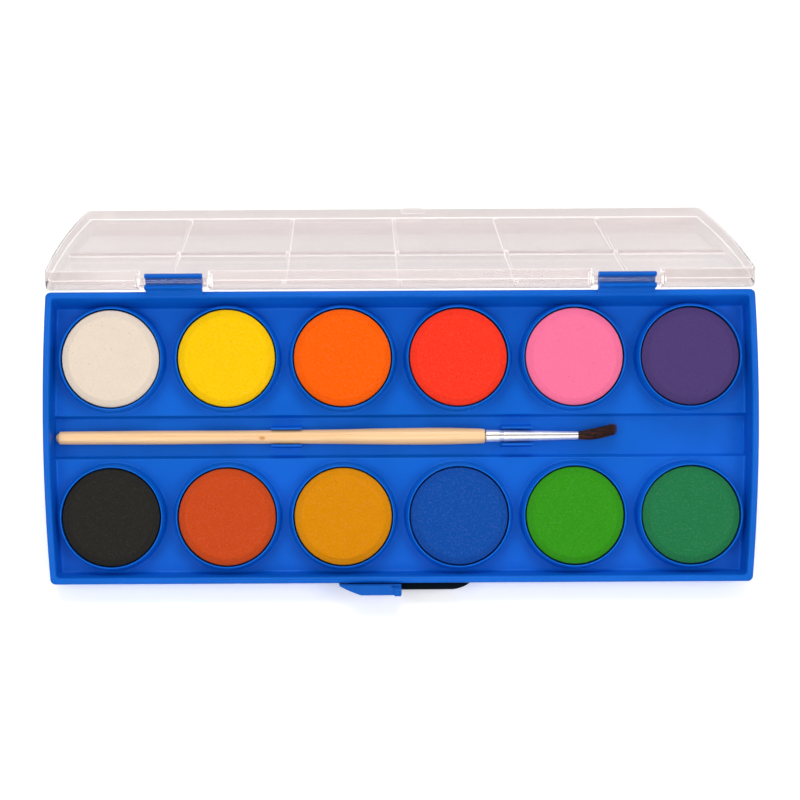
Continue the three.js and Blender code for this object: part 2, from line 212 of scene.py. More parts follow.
def join(name, *shapes):
    """Several solids that don't overlap, as one object."""
    bm = bmesh.new()
    for shape in shapes:
        bm.from_mesh(shape.data)
        bpy.data.objects.remove(shape)
    mesh = bpy.data.meshes.new(name)
    bm.to_mesh(mesh)
    bm.free()
    joined = bpy.data.objects.new(name, mesh)
    bpy.context.scene.collection.objects.link(joined)
    return joined


def combine(target, operation, *others):
    """Cuts or joins solids; the others are used up."""
    for other in others:
        modifier = target.modifiers.new("combine", "BOOLEAN")
        modifier.operation = operation
        modifier.solver = "MANIFOLD"
        modifier.object = other
        solid = target.evaluated_get(bpy.context.evaluated_depsgraph_get())
        mesh = bpy.data.meshes.new_from_object(solid)
        target.modifiers.clear()
        target.data = mesh
        bpy.data.objects.remove(other)
    return target


def copies(shape, offsets):
    """Copies of a solid moved by each offset, as one object."""
    made = []
    for offset in offsets:
        mesh = shape.data.copy()
        mesh.transform(Matrix.Translation(offset))
        copy = bpy.data.objects.new(shape.name, mesh)
        bpy.context.scene.collection.objects.link(copy)
        made.append(copy)
    bpy.data.objects.remove(shape)
    return join(made[0].name, *made)


def loft(name, loops):
    """A closed solid through rings of equally many points."""
    count = len(loops[0])
    points = [p for loop in loops for p in loop]
    faces = [tuple(range(count))[::-1], tuple(range(len(points) - count, len(points)))]
    for level in range(len(loops) - 1):
        for i in range(count):
            a = level * count + i
            b = level * count + (i + 1) % count
            faces.append((a, b, b + count, a + count))
    return piece(name, points, faces)


def lathe(name, profile, segments=96, along="Z"):
    """A profile of (radius, height), from axis to axis or closed on itself."""
    points = []
    rings = []
    for radius, height in profile:
        if radius < 1e-6:
            rings.append([len(points)] * segments)
            points.append((0, 0, height))
            continue
        rings.append(list(range(len(points), len(points) + segments)))
        for i in range(segments):
            angle = 2 * math.pi * i / segments
            points.append((radius * math.cos(angle), radius * math.sin(angle), height))
    faces = []
    closed = profile[0][0] > 1e-6
    for k in range(len(profile) - (0 if closed else 1)):
        lower, upper = rings[k], rings[(k + 1) % len(profile)]
        for i in range(segments):
            j = (i + 1) % segments
            corners = [lower[i], lower[j], upper[j], upper[i]]
            faces.append(tuple(dict.fromkeys(corners)))
    if along == "X":
        points = [(z, x, y) for x, y, z in points]
    return piece(name, points, faces)


def prism(name, section, x0, x1):
    """A section of (y, z) run along X."""
    return loft(name, [[(x, y, z) for y, z in section] for x in (x0, x1)])


def slab(name, plan, z0, z1):
    """A plan of (x, y) raised from z0 to z1."""
    return loft(name, [[(x, y, z) for x, y in plan] for z in (z0, z1)])


def block(name, low, high):
    (x0, y0, z0), (x1, y1, z1) = low, high
    return prism(name, [(y0, z0), (y1, z0), (y1, z1), (y0, z1)], x0, x1)


def arc(cx, cy, radius, start, end, steps=6):
    """Points on an arc, in degrees."""
    angles = [math.radians(start + (end - start) * i / steps) for i in range(steps + 1)]
    return [(cx + radius * math.cos(a), cy + radius * math.sin(a)) for a in angles]


def smooth_curve(knots, steps):
    """Points through (position, value) knots, on a Catmull-Rom curve."""
    ends = [knots[0], *knots, knots[-1]]
    points = []
    for before, a, b, after in zip(ends, ends[1:], ends[2:], ends[3:]):
        for i in range(steps):
            t = i / steps
            points.append(tuple(
                0.5 * (2 * p1 + (p2 - p0) * t + (2 * p0 - 5 * p1 + 4 * p2 - p3) * t * t
                       + (3 * p1 - p0 - 3 * p2 + p3) * t**3)
                for p0, p1, p2, p3 in zip(before, a, b, after)))
    return [*points, tuple(knots[-1])]


def lerp(a, b, t):
    return a + (b - a) * t


# ---- Materials ------------------------------------------------------------------------------


def linear(red, green, blue):
    """An sRGB colour of 0 to 255, as Blender wants it."""
    def channel(value):
        value /= 255
        return value / 12.92 if value <= 0.04045 else ((value + 0.055) / 1.055) ** 2.4
    return (channel(red), channel(green), channel(blue), 1)


def scaled(colour, factor, lift=0.0):
    """The colour made darker or lighter by the factor, with an even lift."""
    return tuple(min(1, c * factor + lift) for c in colour[:3]) + (1,)


class Material:
    """A node material with short calls for the nodes used here. Positions are in millimetres."""

    def __init__(self, name, **settings):
        self.material = bpy.data.materials.new(name)
        self.material.use_nodes = True
        self.tree = self.material.node_tree
        self.shader = self.tree.nodes["Principled BSDF"]
        for socket, value in settings.items():
            self.shader.inputs[socket.replace("_", " ")].default_value = value
        place = self.node("ShaderNodeNewGeometry").outputs["Position"]
        scale = self.node("ShaderNodeVectorMath", operation="SCALE")
        self.link(place, scale.inputs[0])
        scale.inputs["Scale"].default_value = 1 / MM
        self.place = scale.outputs[0]

    def node(self, kind, **properties):
        made = self.tree.nodes.new(kind)
        for key, value in properties.items():
            setattr(made, key, value)
        return made

    def link(self, output, target):
        self.tree.links.new(output, target)

    def put(self, value, target):
        if isinstance(value, bpy.types.NodeSocket):
            self.link(value, target)
        else:
            target.default_value = value

    def stretched(self, x, y, z, turn=0.0):
        """Positions scaled along each of the piece's own axes."""
        mapping = self.node("ShaderNodeMapping")
        mapping.inputs["Rotation"].default_value = (turn, 0, 0)
        mapping.inputs["Scale"].default_value = (x, y, z)
        self.link(self.place, mapping.inputs["Vector"])
        return mapping.outputs[0]

    def noise(self, scale, detail, rough=0.55, place=None, distortion=0.0):
        made = self.node("ShaderNodeTexNoise")
        made.inputs["Scale"].default_value = scale
        made.inputs["Detail"].default_value = detail
        made.inputs["Roughness"].default_value = rough
        made.inputs["Distortion"].default_value = distortion
        self.link(place or self.place, made.inputs["Vector"])
        return made.outputs["Fac"]

    def cells(self, scale):
        made = self.node("ShaderNodeTexVoronoi")
        made.inputs["Scale"].default_value = scale
        self.link(self.place, made.inputs["Vector"])
        return made.outputs["Distance"]

    def ramp(self, value, *stops):
        made = self.node("ShaderNodeValToRGB")
        elements = made.color_ramp.elements
        while len(elements) < len(stops):
            elements.new(0.5)
        for element, (position, colour) in zip(elements, stops):
            element.position = position
            element.color = colour if isinstance(colour, tuple) else (colour,) * 3 + (1,)
        self.link(value, made.inputs["Fac"])
        return made.outputs["Color"]

    def mix(self, factor, a, b):
        made = self.node("ShaderNodeMix", data_type="RGBA")
        self.put(factor, made.inputs[0])
        self.put(a, made.inputs[6])
        self.put(b, made.inputs[7])
        return made.outputs[2]

    def math(self, operation, a, b=0.0):
        made = self.node("ShaderNodeMath", operation=operation)
        self.put(a, made.inputs[0])
        self.put(b, made.inputs[1])
        return made.outputs[0]

    def edges(self, radius):
        """1 along rounded edges within that radius, 0 on flats."""
        bevel = self.node("ShaderNodeBevel")
        bevel.inputs["Radius"].default_value = radius * MM
        plain = self.node("ShaderNodeNewGeometry").outputs["Normal"]
        dot = self.node("ShaderNodeVectorMath", operation="DOT_PRODUCT")
        self.link(bevel.outputs[0], dot.inputs[0])
        self.link(plain, dot.inputs[1])
        return self.ramp(dot.outputs["Value"], (0.8, 1.0), (0.995, 0.0))

    def bump(self, *layers):
        """Layers of (height, strength, distance in mm), one on the other."""
        normal = None
        for height, strength, distance in layers:
            made = self.node("ShaderNodeBump")
            made.inputs["Strength"].default_value = strength
            made.inputs["Distance"].default_value = distance * MM
            self.link(height, made.inputs["Height"])
            if normal:
                self.link(normal, made.inputs["Normal"])
            normal = made.outputs[0]
        self.link(normal, self.shader.inputs["Normal"])

    def set(self, socket, value):
        self.put(value, self.shader.inputs[socket])


def moulded_plastic(name, colour, roughness=0.3):
    """Coloured moulded plastic: mould grain, faint flow clouds, edges lightened as rubbing wear and as painted
    highlight, light scratches.
    """
    plastic = Material(name, IOR=1.5, Specular_IOR_Level=0.09)
    clouds = plastic.noise(0.035, 3)
    grain = plastic.noise(7, 2, 0.6)
    rub = plastic.noise(0.5, 5, 0.7)
    scratch = plastic.noise(1.0, 3, 0.6, plastic.stretched(0.15, 3.2, 3.2, 0.4))
    scratches = plastic.ramp(scratch, (0.66, 0.0), (0.72, 1.0))
    base = plastic.mix(plastic.ramp(clouds, (0.3, 0.0), (0.7, 1.0)),
                       scaled(colour, 0.9), scaled(colour, 1.08, 0.004))
    # edges lightened: partly rubbing wear, partly a painted highlight along the rims and collar lips
    wear_and_highlight = plastic.math("MULTIPLY", plastic.edges(0.35), plastic.ramp(rub, (0.3, 0.4), (0.8, 0.9)))
    plastic.set("Base Color", plastic.mix(wear_and_highlight, base, scaled(colour, 1.7, 0.012)))
    rough = plastic.math("MULTIPLY_ADD", rub, 0.14)
    rough.node.inputs[2].default_value = roughness - 0.07
    rough = plastic.math("ADD", rough, plastic.math("MULTIPLY", scratches, 0.12))
    plastic.set("Roughness", rough)
    plastic.bump((grain, 0.12, 0.05), (scratch, 0.04, 0.05))
    return plastic.material


PAINTED_EDGE_GLOW = 0.7  # painted highlight: glow along the lid's rounded edges, standing in for the lamps' reflections in its fillets


def clear_plastic():
    """Thin clear styrene: see-through flats, a painted highlight (whiter, less clear and glowing) along its edges,
    faint scuffs.
    """
    plastic = Material("clear_plastic", IOR=1.02, Coat_IOR=1.5, Coat_Weight=0.7,
                       Coat_Roughness=0.08)
    scuffs = plastic.noise(0.35, 6, 0.7)
    fine = plastic.noise(2.0, 4, 0.7, plastic.stretched(0.3, 2.0, 2.0, 0.9))
    marks = plastic.ramp(plastic.math("MULTIPLY", scuffs, fine), (0.26, 0.02), (0.45, 0.1))
    # painted highlight: the rounded edges are made whiter, less see-through and glowing, standing in for reflected
    # light
    painted_edge_highlight = plastic.edges(0.5)
    plastic.set("Base Color", plastic.mix(painted_edge_highlight, linear(239, 232, 230), linear(255, 253, 252)))
    see_through = plastic.math("SUBTRACT", 0.97, plastic.math("MULTIPLY", painted_edge_highlight, 0.7))
    plastic.set("Transmission Weight", see_through)
    plastic.set("Emission Color", linear(255, 252, 250))
    plastic.set("Emission Strength", plastic.math("MULTIPLY", painted_edge_highlight, PAINTED_EDGE_GLOW))
    plastic.set("Roughness", marks)
    plastic.bump((plastic.noise(0.06, 2), 0.1, 0.6), (fine, 0.02, 0.02))
    return plastic.material


def dry_paint(name, colour, contrast=1.0):
    """Pressed dry paint: chalky, finely granular, with pale specks and paler rounded edges."""
    paint = Material(name, IOR=1.45, Specular_IOR_Level=0.05)
    mottle = paint.noise(0.22, 5, 0.65)
    grain = paint.noise(1.7, 4, 0.75)
    specks = paint.cells(2.6)
    white = 0.06 * contrast
    deep = scaled(colour, 1 - 0.15 * contrast)
    pale = scaled(colour, 1 - white, 0.95 * white)
    base = paint.mix(paint.ramp(mottle, (0.3, 0.75), (0.65, 1.0)), deep, colour)
    base = paint.mix(paint.ramp(grain, (0.28, 0.8), (0.48, 0.0)), base, deep)
    base = paint.mix(paint.ramp(grain, (0.52, 0.0), (0.75, 0.8)), base, pale)
    # painted shade: scattered small spots darkened, for the shade inside small pits of the pressed paint
    pit_shade = paint.ramp(paint.cells(0.5), (0.05, 0.6), (0.11, 0.0))
    base = paint.mix(pit_shade, base, scaled(colour, 0.45))
    dots = paint.math("MULTIPLY", paint.ramp(specks, (0.07, 1.0), (0.17, 0.0)),
                      paint.ramp(mottle, (0.45, 0.0), (0.6, 0.5)))
    base = paint.mix(dots, base, pale)
    # the paint is paler along its rounded edges
    pale_edges = paint.math("MULTIPLY", paint.edges(0.9), 0.6)
    paint.set("Base Color", paint.mix(pale_edges, base, pale))
    paint.set("Roughness", paint.ramp(grain, (0.3, 0.78), (0.7, 0.96)))
    paint.bump((mottle, 0.25, 0.3), (grain, 0.5, 0.12), (specks, 0.15, 0.08))
    return paint.material


def varnished_wood(knot_at):
    """Pale wood with grain along X, a small knot and a thin varnish."""
    wood = Material("varnished_wood", IOR=1.5, Coat_Weight=0.35, Coat_Roughness=0.2)
    fibre = wood.noise(1.0, 6, 0.7, wood.stretched(0.05, 2.6, 2.6))
    bands = wood.noise(1.0, 3, 0.5, wood.stretched(0.012, 0.55, 0.55), 0.6)
    base = wood.mix(wood.ramp(bands, (0.35, 0.0), (0.65, 1.0)),
                    linear(246, 197, 140), linear(253, 213, 162))
    base = wood.mix(wood.ramp(fibre, (0.5, 0.0), (0.76, 0.75)), base, linear(224, 168, 108))
    away = wood.node("ShaderNodeVectorMath", operation="DISTANCE")
    wood.link(wood.stretched(0.6, 1, 1), away.inputs[0])
    away.inputs[1].default_value = (knot_at.x * 0.6, knot_at.y, knot_at.z)
    ring = wood.math("ADD", away.outputs["Value"], wood.math("MULTIPLY", fibre, 0.35))
    knot = wood.ramp(ring, (0.5, 1.0), (2.2, 0.0))
    wood.set("Base Color", wood.mix(knot, base, linear(214, 140, 68)))
    wood.set("Roughness", wood.ramp(fibre, (0.3, 0.42), (0.7, 0.6)))
    wood.bump((fibre, 0.2, 0.06))
    return wood.material


def drawn_metal(dark_reflection_at):
    """Bright drawn aluminium with a painted dark reflection line along it, fine lines round it and light marks."""
    metal = Material("ferrule_metal", Metallic=0.6)
    lines = metal.noise(1.0, 4, 0.7, metal.stretched(9.0, 0.4, 0.4))
    marks = metal.noise(1.3, 5, 0.7)
    away = metal.node("ShaderNodeVectorMath", operation="SUBTRACT")
    metal.link(metal.place, away.inputs[0])
    away.inputs[1].default_value = dark_reflection_at
    across = metal.node("ShaderNodeVectorMath", operation="DOT_PRODUCT")
    metal.link(away.outputs[0], across.inputs[0])
    across.inputs[1].default_value = forward
    # painted reflection: a dark band along the ferrule, standing in for the dark surroundings it mirrors
    dark_reflection = metal.math("ADD", metal.math("ABSOLUTE", across.outputs["Value"]),
                      metal.math("MULTIPLY", marks, 0.12))
    bright = metal.mix(metal.ramp(marks, (0.4, 0.0), (0.75, 1.0)),
                       linear(250, 250, 252), linear(232, 232, 236))
    metal.set("Base Color", metal.mix(metal.ramp(dark_reflection, (0.2, 1.0), (0.32, 0.0)), bright,
                                      linear(112, 98, 92)))
    metal.set("Roughness", metal.ramp(lines, (0.3, 0.3), (0.7, 0.45)))
    metal.bump((lines, 0.08, 0.03), (marks, 0.05, 0.05))
    return metal.material


def brown_hair():
    """Dark brown hair, lighter in places from strand to strand."""
    hair = Material("hair", IOR=1.55, Specular_IOR_Level=0.2)
    strands = hair.noise(1.0, 4, 0.7, hair.stretched(0.14, 2.6, 2.6))
    hair.set("Base Color", hair.ramp(strands, (0.36, linear(14, 7, 8)), (0.52, linear(42, 20, 18)),
                                     (0.68, linear(128, 62, 40))))
    hair.set("Roughness", hair.ramp(strands, (0.3, 0.38), (0.7, 0.55)))
    hair.bump((strands, 0.2, 0.03))
    return hair.material


# ---- Finishing a piece ----------------------------------------------------------------------


def finished(shape, place, body, material, nodes, sharp=32):
    """Carries a piece into the row's frame, shades it, gives it its material and body, and hides its CAD nodes."""
    def tidy(bm):
        bmesh.ops.remove_doubles(bm, verts=bm.verts, dist=1e-4)
        bmesh.ops.dissolve_limit(bm, angle_limit=math.radians(0.05), verts=bm.verts, edges=bm.edges)
        bmesh.ops.recalc_face_normals(bm, faces=bm.faces)
    rework(shape, tidy)
    shape.data.transform(place)
    shape.data.update()
    for polygon in shape.data.polygons:
        polygon.use_smooth = True
    shape.data.set_sharp_from_angle(angle=math.radians(sharp))
    normals = shape.modifiers.new("normals", "WEIGHTED_NORMAL")
    normals.keep_sharp = True
    shape.data.materials.clear()
    shape.data.materials.append(material)
    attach(shape, body)
    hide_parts(*nodes)
    return shape


# ---- The outline that tray and lid share ----------------------------------------------------


def side_x(y):
    t = y / HALF_DEPTH
    return HALF_WIDTH + END_TAPER * t - END_BOW * t * t


def outline(front, back, end, radius):
    """The plan drawn in by its own amount at the front, back and ends, anticlockwise."""
    y0 = -HALF_DEPTH + front + radius
    y1 = HALF_DEPTH - back - radius
    side_steps = 24
    corner_steps = 8
    right_side = [(side_x(lerp(y0, y1, i / side_steps)) - end, lerp(y0, y1, i / side_steps))
                  for i in range(side_steps + 1)]
    back_corner = arc(side_x(y1) - end - radius, y1, radius, 0, 90, corner_steps)[1:]
    front_corner = arc(side_x(y0) - end - radius, y0, radius, -90, 0, corner_steps)[:-1]
    half = [*front_corner, *right_side, *back_corner]
    return half + [(-x, y) for x, y in reversed(half)]


def stack(name, levels):
    """A solid through outlines of (inset, z) or (front, back, end, z), lowest first."""
    loops = []
    for level in levels:
        *insets, z = level
        front, back, end = insets * 3 if len(insets) == 1 else insets
        radius = max(CORNER_RADIUS - min(front, back, end), INNER_CORNER_RADIUS)
        loops.append([(x, y, z) for x, y in outline(front, back, end, radius)])
    return loft(name, loops)


# ---- Tray -----------------------------------------------------------------------------------


def tray_body():
    foot = arc(TRAY_DRAFT + FOOT_RADIUS, FOOT_RADIUS, FOOT_RADIUS, 270, 180)
    rim = arc(RIM_RADIUS, TRAY_HEIGHT - RIM_RADIUS, RIM_RADIUS, 180, 90)
    return stack("tray_shell", [*foot, *rim])


def tray_cavity():
    slopes = (FRONT_SLOPE, BACK_SLOPE, END_SLOPE)
    depth = TRAY_HEIGHT - FLOOR_TOP

    def wall(z):
        lean = 1 - (z - FLOOR_TOP) / depth
        return [TRAY_WALL + slope * lean for slope in slopes]

    levels = []
    steps = 6
    for step in range(steps + 1):
        angle = math.pi / 2 * (1 - step / steps)
        z = FLOOR_TOP + FLOOR_FILLET * (1 - math.sin(angle))
        inset = FLOOR_FILLET * (1 - math.cos(angle))
        levels.append([w + inset for w in wall(FLOOR_TOP + FLOOR_FILLET)] + [z])
    for inset, z in arc(TRAY_WALL - RIM_RADIUS, TRAY_HEIGHT - RIM_RADIUS, RIM_RADIUS, 0, 90):
        levels.append([inset, inset, inset, z])
    levels.append([TRAY_WALL - RIM_RADIUS] * 3 + [TRAY_HEIGHT + 2 * PAST])
    return stack("cavity", levels)


def channel_cutter():
    half = CHANNEL_WIDTH / 2
    top = half + CHANNEL_DRAFT
    lower = arc(half - CHANNEL_FILLET, CHANNEL_FLOOR + CHANNEL_FILLET, CHANNEL_FILLET, 270, 350)
    edge = arc(top + CHANNEL_EDGE, FLOOR_TOP - CHANNEL_EDGE, CHANNEL_EDGE, 170, 90)
    side = [*lower, *edge, (top + CHANNEL_EDGE, FLOOR_TOP + CHANNEL_CUT_RISE)]
    section = side + [(-y, z) for y, z in reversed(side)]
    reach = HALF_WIDTH - TRAY_WALL - END_SLOPE
    return rounded(prism("channel", section, -reach, reach), CHANNEL_END_RADIUS, 4, 60)


def underside_hollow(side):
    """The hollow under one row of tablets."""
    near = CHANNEL_WIDTH / 2 + CHANNEL_DRAFT + FLOOR_THICKNESS
    far = HALF_DEPTH - SKIRT_WALL
    steps = 16
    right_edge = [(side_x(side * lerp(near, far, i / steps)) - SKIRT_WALL,
                   side * lerp(near, far, i / steps)) for i in range(steps + 1)]
    plan = right_edge + [(-x, y) for x, y in reversed(right_edge)]
    hollow = slab("hollow", plan, -PAST, FLOOR_TOP - FLOOR_THICKNESS)
    return rounded(hollow, HOLLOW_RADIUS, 3, 60)


def collar():
    """A round wall with a flared foot, a sloped shoulder and a thin lip round the tablet."""
    outer = COLLAR_INNER + COLLAR_WALL
    flare_x = outer + COLLAR_DRAFT + COLLAR_FILLET - FLARE_OVERLAP
    top = FLOOR_TOP + COLLAR_HEIGHT
    foot = FLOOR_TOP - COLLAR_SUNK
    lip = COLLAR_INNER + COLLAR_LIP
    profile = [
        (COLLAR_INNER, foot), (flare_x, foot),
        *arc(flare_x, FLOOR_TOP + COLLAR_FILLET, COLLAR_FILLET, 270, 183),
        *arc(outer - COLLAR_SHOULDER_RADIUS, top - COLLAR_SHOULDER_DROP, COLLAR_SHOULDER_RADIUS,
             5, 50, 4),
        *arc(lip - COLLAR_LIP_RADIUS, top - COLLAR_LIP_RADIUS, COLLAR_LIP_RADIUS, 40, 90, 3),
        *arc(COLLAR_INNER + COLLAR_MOUTH_RADIUS, top - COLLAR_MOUTH_RADIUS, COLLAR_MOUTH_RADIUS,
             90, 180, 3),
    ]
    return lathe("collar", profile, 128)


def brush_clip(x):
    """Two upright jaws with beaded lips that grip the brush."""
    inner, outer = CLIP_INNER, CLIP_INNER + CLIP_WALL
    foot = CHANNEL_FLOOR - CLIP_SUNK
    top = CHANNEL_FLOOR + CLIP_HEIGHT
    lip = arc(inner + CLIP_LIP_DROP / 2, top - CLIP_LIP_DROP, CLIP_LIP_RADIUS, 110, 250, 5)
    half = [(outer + 0.5, foot), (outer, CHANNEL_FLOOR + 0.7), (inner + 0.5, top - 0.9),
            (inner + 0.42, top), *lip, (inner, top - 1.4), (inner, foot)]
    jaws = []
    for side in (-1, 1):
        section = [(side * y, z) for y, z in half]
        jaw = prism("jaw", section, x - CLIP_LENGTH / 2, x + CLIP_LENGTH / 2)
        jaws.append(rounded(jaw, CLIP_EDGE_RADIUS, 2, 50))
    return jaws


def rod(name, radius, x0, x1):
    """A round rod on the hinge's axis."""
    made = lathe(name, [(0, x0), (radius, x0), (radius, x1), (0, x1)], 48, "X")
    made.data.transform(Matrix.Translation((0, hinge.y, hinge.z)))
    return made


def hinge_clip(x):
    """A C-shaped clip, open upwards, on an arm from the tray's back wall."""
    y, z = hinge.y, hinge.z
    start, end = 90 + KNUCKLE_MOUTH, 450 - KNUCKLE_MOUTH
    c_section = [*arc(y, z, KNUCKLE_RADIUS, start, end, 40),
                 *arc(y, z, PIN_RADIUS + GAP, end, start, 32)]
    x0, x1 = x - KNUCKLE_LENGTH / 2, x + KNUCKLE_LENGTH / 2
    curl = rounded(prism("clip", c_section, x0, x1), KNUCKLE_EDGE_RADIUS, 2, 60)
    root = HALF_DEPTH - ARM_INSET
    arm_section = [(root, TRAY_HEIGHT - 1.6), (y - 0.8, z - 2.3), (y - 1.6, z - 0.6),
                   (root + 0.7, TRAY_HEIGHT + 1.3), (root, TRAY_HEIGHT + 0.4)]
    arm = prism("arm", arm_section, x0 + 0.1, x1 - 0.1)
    bore = rod("bore", PIN_RADIUS + GAP, x0 - PAST, x1 + PAST)
    return [combine(arm, "DIFFERENCE", bore), curl]


def make_tray():
    tray = tray_body()
    hollows = [underside_hollow(side) for side in (-1, 1)]
    combine(tray, "DIFFERENCE", tray_cavity(), channel_cutter(), *hollows)
    places = [local_middle(node) for node in frame["nodes"] if node.startswith("tablet_")]
    collars = copies(collar(), [(p.x, p.y, 0) for p in places])
    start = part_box("brush_handle")[0].x / MM
    jaws = [jaw for along in CLIP_PLACES for jaw in brush_clip(start + along)]
    clips = [part for side in (-1, 1) for part in hinge_clip(side * HINGE_X)]
    combine(tray, "UNION", collars, *jaws, *clips)
    blue = moulded_plastic("blue_plastic", linear(3, 99, 206))
    return finished(tray, TRAY, "tray", blue, ["tray"])


# ---- Tablets --------------------------------------------------------------------------------

PAINTS = {
    "white": (234, 217, 198), "yellow": (254, 200, 3), "orange": (255, 97, 4),
    "red": (254, 56, 33), "pink": (253, 118, 158), "violet": (78, 60, 113),
    "black": (40, 39, 36), "brown": (201, 73, 27), "ochre": (219, 138, 4),
    "blue": (17, 76, 164), "light_green": (52, 148, 23), "dark_green": (34, 118, 71),
}


def make_tablet(colour_name, colour):
    """A pressed disc with a sloped edge, slightly uneven as pressed powder is."""
    node = f"tablet_{colour_name}"
    middle = local_middle(node)
    bottom = FLOOR_TOP + GAP
    top = bottom + TABLET_HEIGHT
    flat = TABLET_RADIUS - TABLET_BEVEL
    rings = 22
    slope_steps = 6
    profile = [(0, bottom), (TABLET_RADIUS - TABLET_FOOT, bottom),
               (TABLET_RADIUS - 0.05, bottom + 0.5), (TABLET_RADIUS, top - TABLET_BEVEL_START)]
    profile += arc(TABLET_RADIUS - TABLET_EDGE_RADIUS, top - 1.5, TABLET_EDGE_RADIUS, 0, 62, 5)
    slope_start, slope_end = profile[-1], (flat + 0.25, top - 0.05)
    profile += [tuple(lerp(a, b, step / slope_steps) for a, b in zip(slope_start, slope_end))
                for step in range(1, slope_steps + 1)]
    for ring in range(rings):
        out = 1 - ring / rings
        profile.append((flat * out, top - TABLET_DISH * (1 - out**2)))
    profile.append((0, top - TABLET_DISH))
    tablet = lathe(node + "_paint", profile, 160)
    seed = Vector((middle.x, middle.y, 7.3))
    for vertex in tablet.data.vertices:
        spot = vertex.co + seed
        rough = noise.noise(spot * 0.9) * 0.05 + noise.noise(spot * 2.3) * 0.025
        keep = min(1, (vertex.co.z - bottom) / 2)
        radial = Vector((vertex.co.x, vertex.co.y, 0)) / TABLET_RADIUS
        vertex.co += (radial * min(rough, 0) + Vector((0, 0, min(rough, 0.02) * 0.6))) * keep
    tablet.data.transform(Matrix.Translation((middle.x, middle.y, 0)))
    contrast = 0.45 if colour_name in ("black", "violet") else 1.0
    paint = dry_paint(node, linear(*colour), contrast)
    return finished(tablet, TRAY, "tray", paint, [node], 40)


# ---- Lid ------------------------------------------------------------------------------------


def lid_pivot(x):
    """Two ears with the hinge pin between them."""
    y, z = hinge.y, hinge.z
    root = HALF_DEPTH - LID_WALL / 2
    section = [(root, z - EAR_RADIUS + 0.2), *arc(y, z, EAR_RADIUS, -90, 90, 16),
               (root, z + EAR_RADIUS + 0.6)]
    inside = NOTCH_LENGTH / 2
    ears = []
    for side in (-1, 1):
        ends = sorted((x + side * inside, x + side * (inside + EAR_THICKNESS)))
        ears.append(rounded(prism("ear", section, *ends), EAR_EDGE_RADIUS, 2, 60))
    reach = inside + EAR_THICKNESS / 2
    return [*ears, rod("pin", PIN_RADIUS, x - reach, x + reach)]


def divider(name, low, high, edge_share=1):
    """A low wall on the lid's plate; its free edge is rounded, and narrower by the share."""
    wall = block(name, low, high)
    middle = (low[1] + high[1]) / 2
    for vertex in wall.data.vertices:
        if vertex.co.z < low[2] + GAP:
            vertex.co.y = lerp(middle, vertex.co.y, edge_share)
    return rounded(wall, DIVIDER_RADIUS, 4, 60)


def lid_notch(x, top):
    """The cut in the lid's back edge that a hinge clip stands in."""
    low = (x - NOTCH_LENGTH / 2, HALF_DEPTH - NOTCH_DEPTH - LID_WALL, LID_RIM - PAST)
    high = (x + NOTCH_LENGTH / 2, HALF_DEPTH + PAST, top + PAST)
    return rounded(block("notch", low, high), NOTCH_RADIUS, 3, 60)


def make_lid():
    top = LID_RIM + LID_HEIGHT
    ceiling = top - LID_WALL
    foot = LID_FOOT_RADIUS
    outer = stack("lid_shell", [
        *arc(foot, LID_RIM + foot, foot, 270, 180, 3),
        *arc(LID_EDGE, top - LID_EDGE, LID_EDGE, 180, 90, 6)])
    step = LID_WALL - LID_STEP
    step_z = LID_RIM + LID_STEP_HEIGHT
    inner = stack("lid_inside", [
        (step - foot, LID_RIM - PAST),
        *arc(step - foot, LID_RIM + foot, foot, 270, 360, 3)[1:],
        (step, step_z),
        *arc(LID_WALL - LID_STEP_RADIUS, step_z + LID_STEP_RADIUS, LID_STEP_RADIUS, 270, 360, 4),
        *arc(LID_WALL + LID_CORNER_RADIUS, ceiling - LID_CORNER_RADIUS, LID_CORNER_RADIUS,
             180, 90, 5)])
    combine(outer, "DIFFERENCE", inner)
    reach = HALF_DEPTH - LID_WALL / 2
    half = DIVIDER_WIDTH / 2
    for number in range(SHORT_DIVIDERS):
        x = (number - SHORT_DIVIDERS // 2) * PITCH
        short = divider("divider", (x - half, -reach, ceiling - DIVIDER_HEIGHT),
                        (x + half, reach, ceiling + SUNK))
        combine(outer, "UNION", short)
    span = HALF_WIDTH - END_BOW - LID_WALL
    half = LONG_DIVIDER_WIDTH / 2
    long_divider = divider("long_divider",
                           (-span, LONG_DIVIDER_Y - half, ceiling - LONG_DIVIDER_HEIGHT),
                           (span, LONG_DIVIDER_Y + half, ceiling + SUNK), LONG_DIVIDER_TAPER)
    combine(outer, "UNION", long_divider)
    for side in (-1, 1):
        combine(outer, "DIFFERENCE", lid_notch(side * HINGE_X, top))
        combine(outer, "UNION", *lid_pivot(side * HINGE_X))
    catch = block("catch", (CATCH_X - CATCH_LENGTH / 2, -HALF_DEPTH - CATCH_DEPTH, LID_RIM),
                  (CATCH_X + CATCH_LENGTH / 2, -HALF_DEPTH + 0.5, LID_RIM + CATCH_HEIGHT))
    combine(outer, "UNION", rounded(catch, CATCH_RADIUS, 3, 60))
    return finished(outer, LID, "lid", clear_plastic(), ["lid"])


# ---- Brush ----------------------------------------------------------------------------------

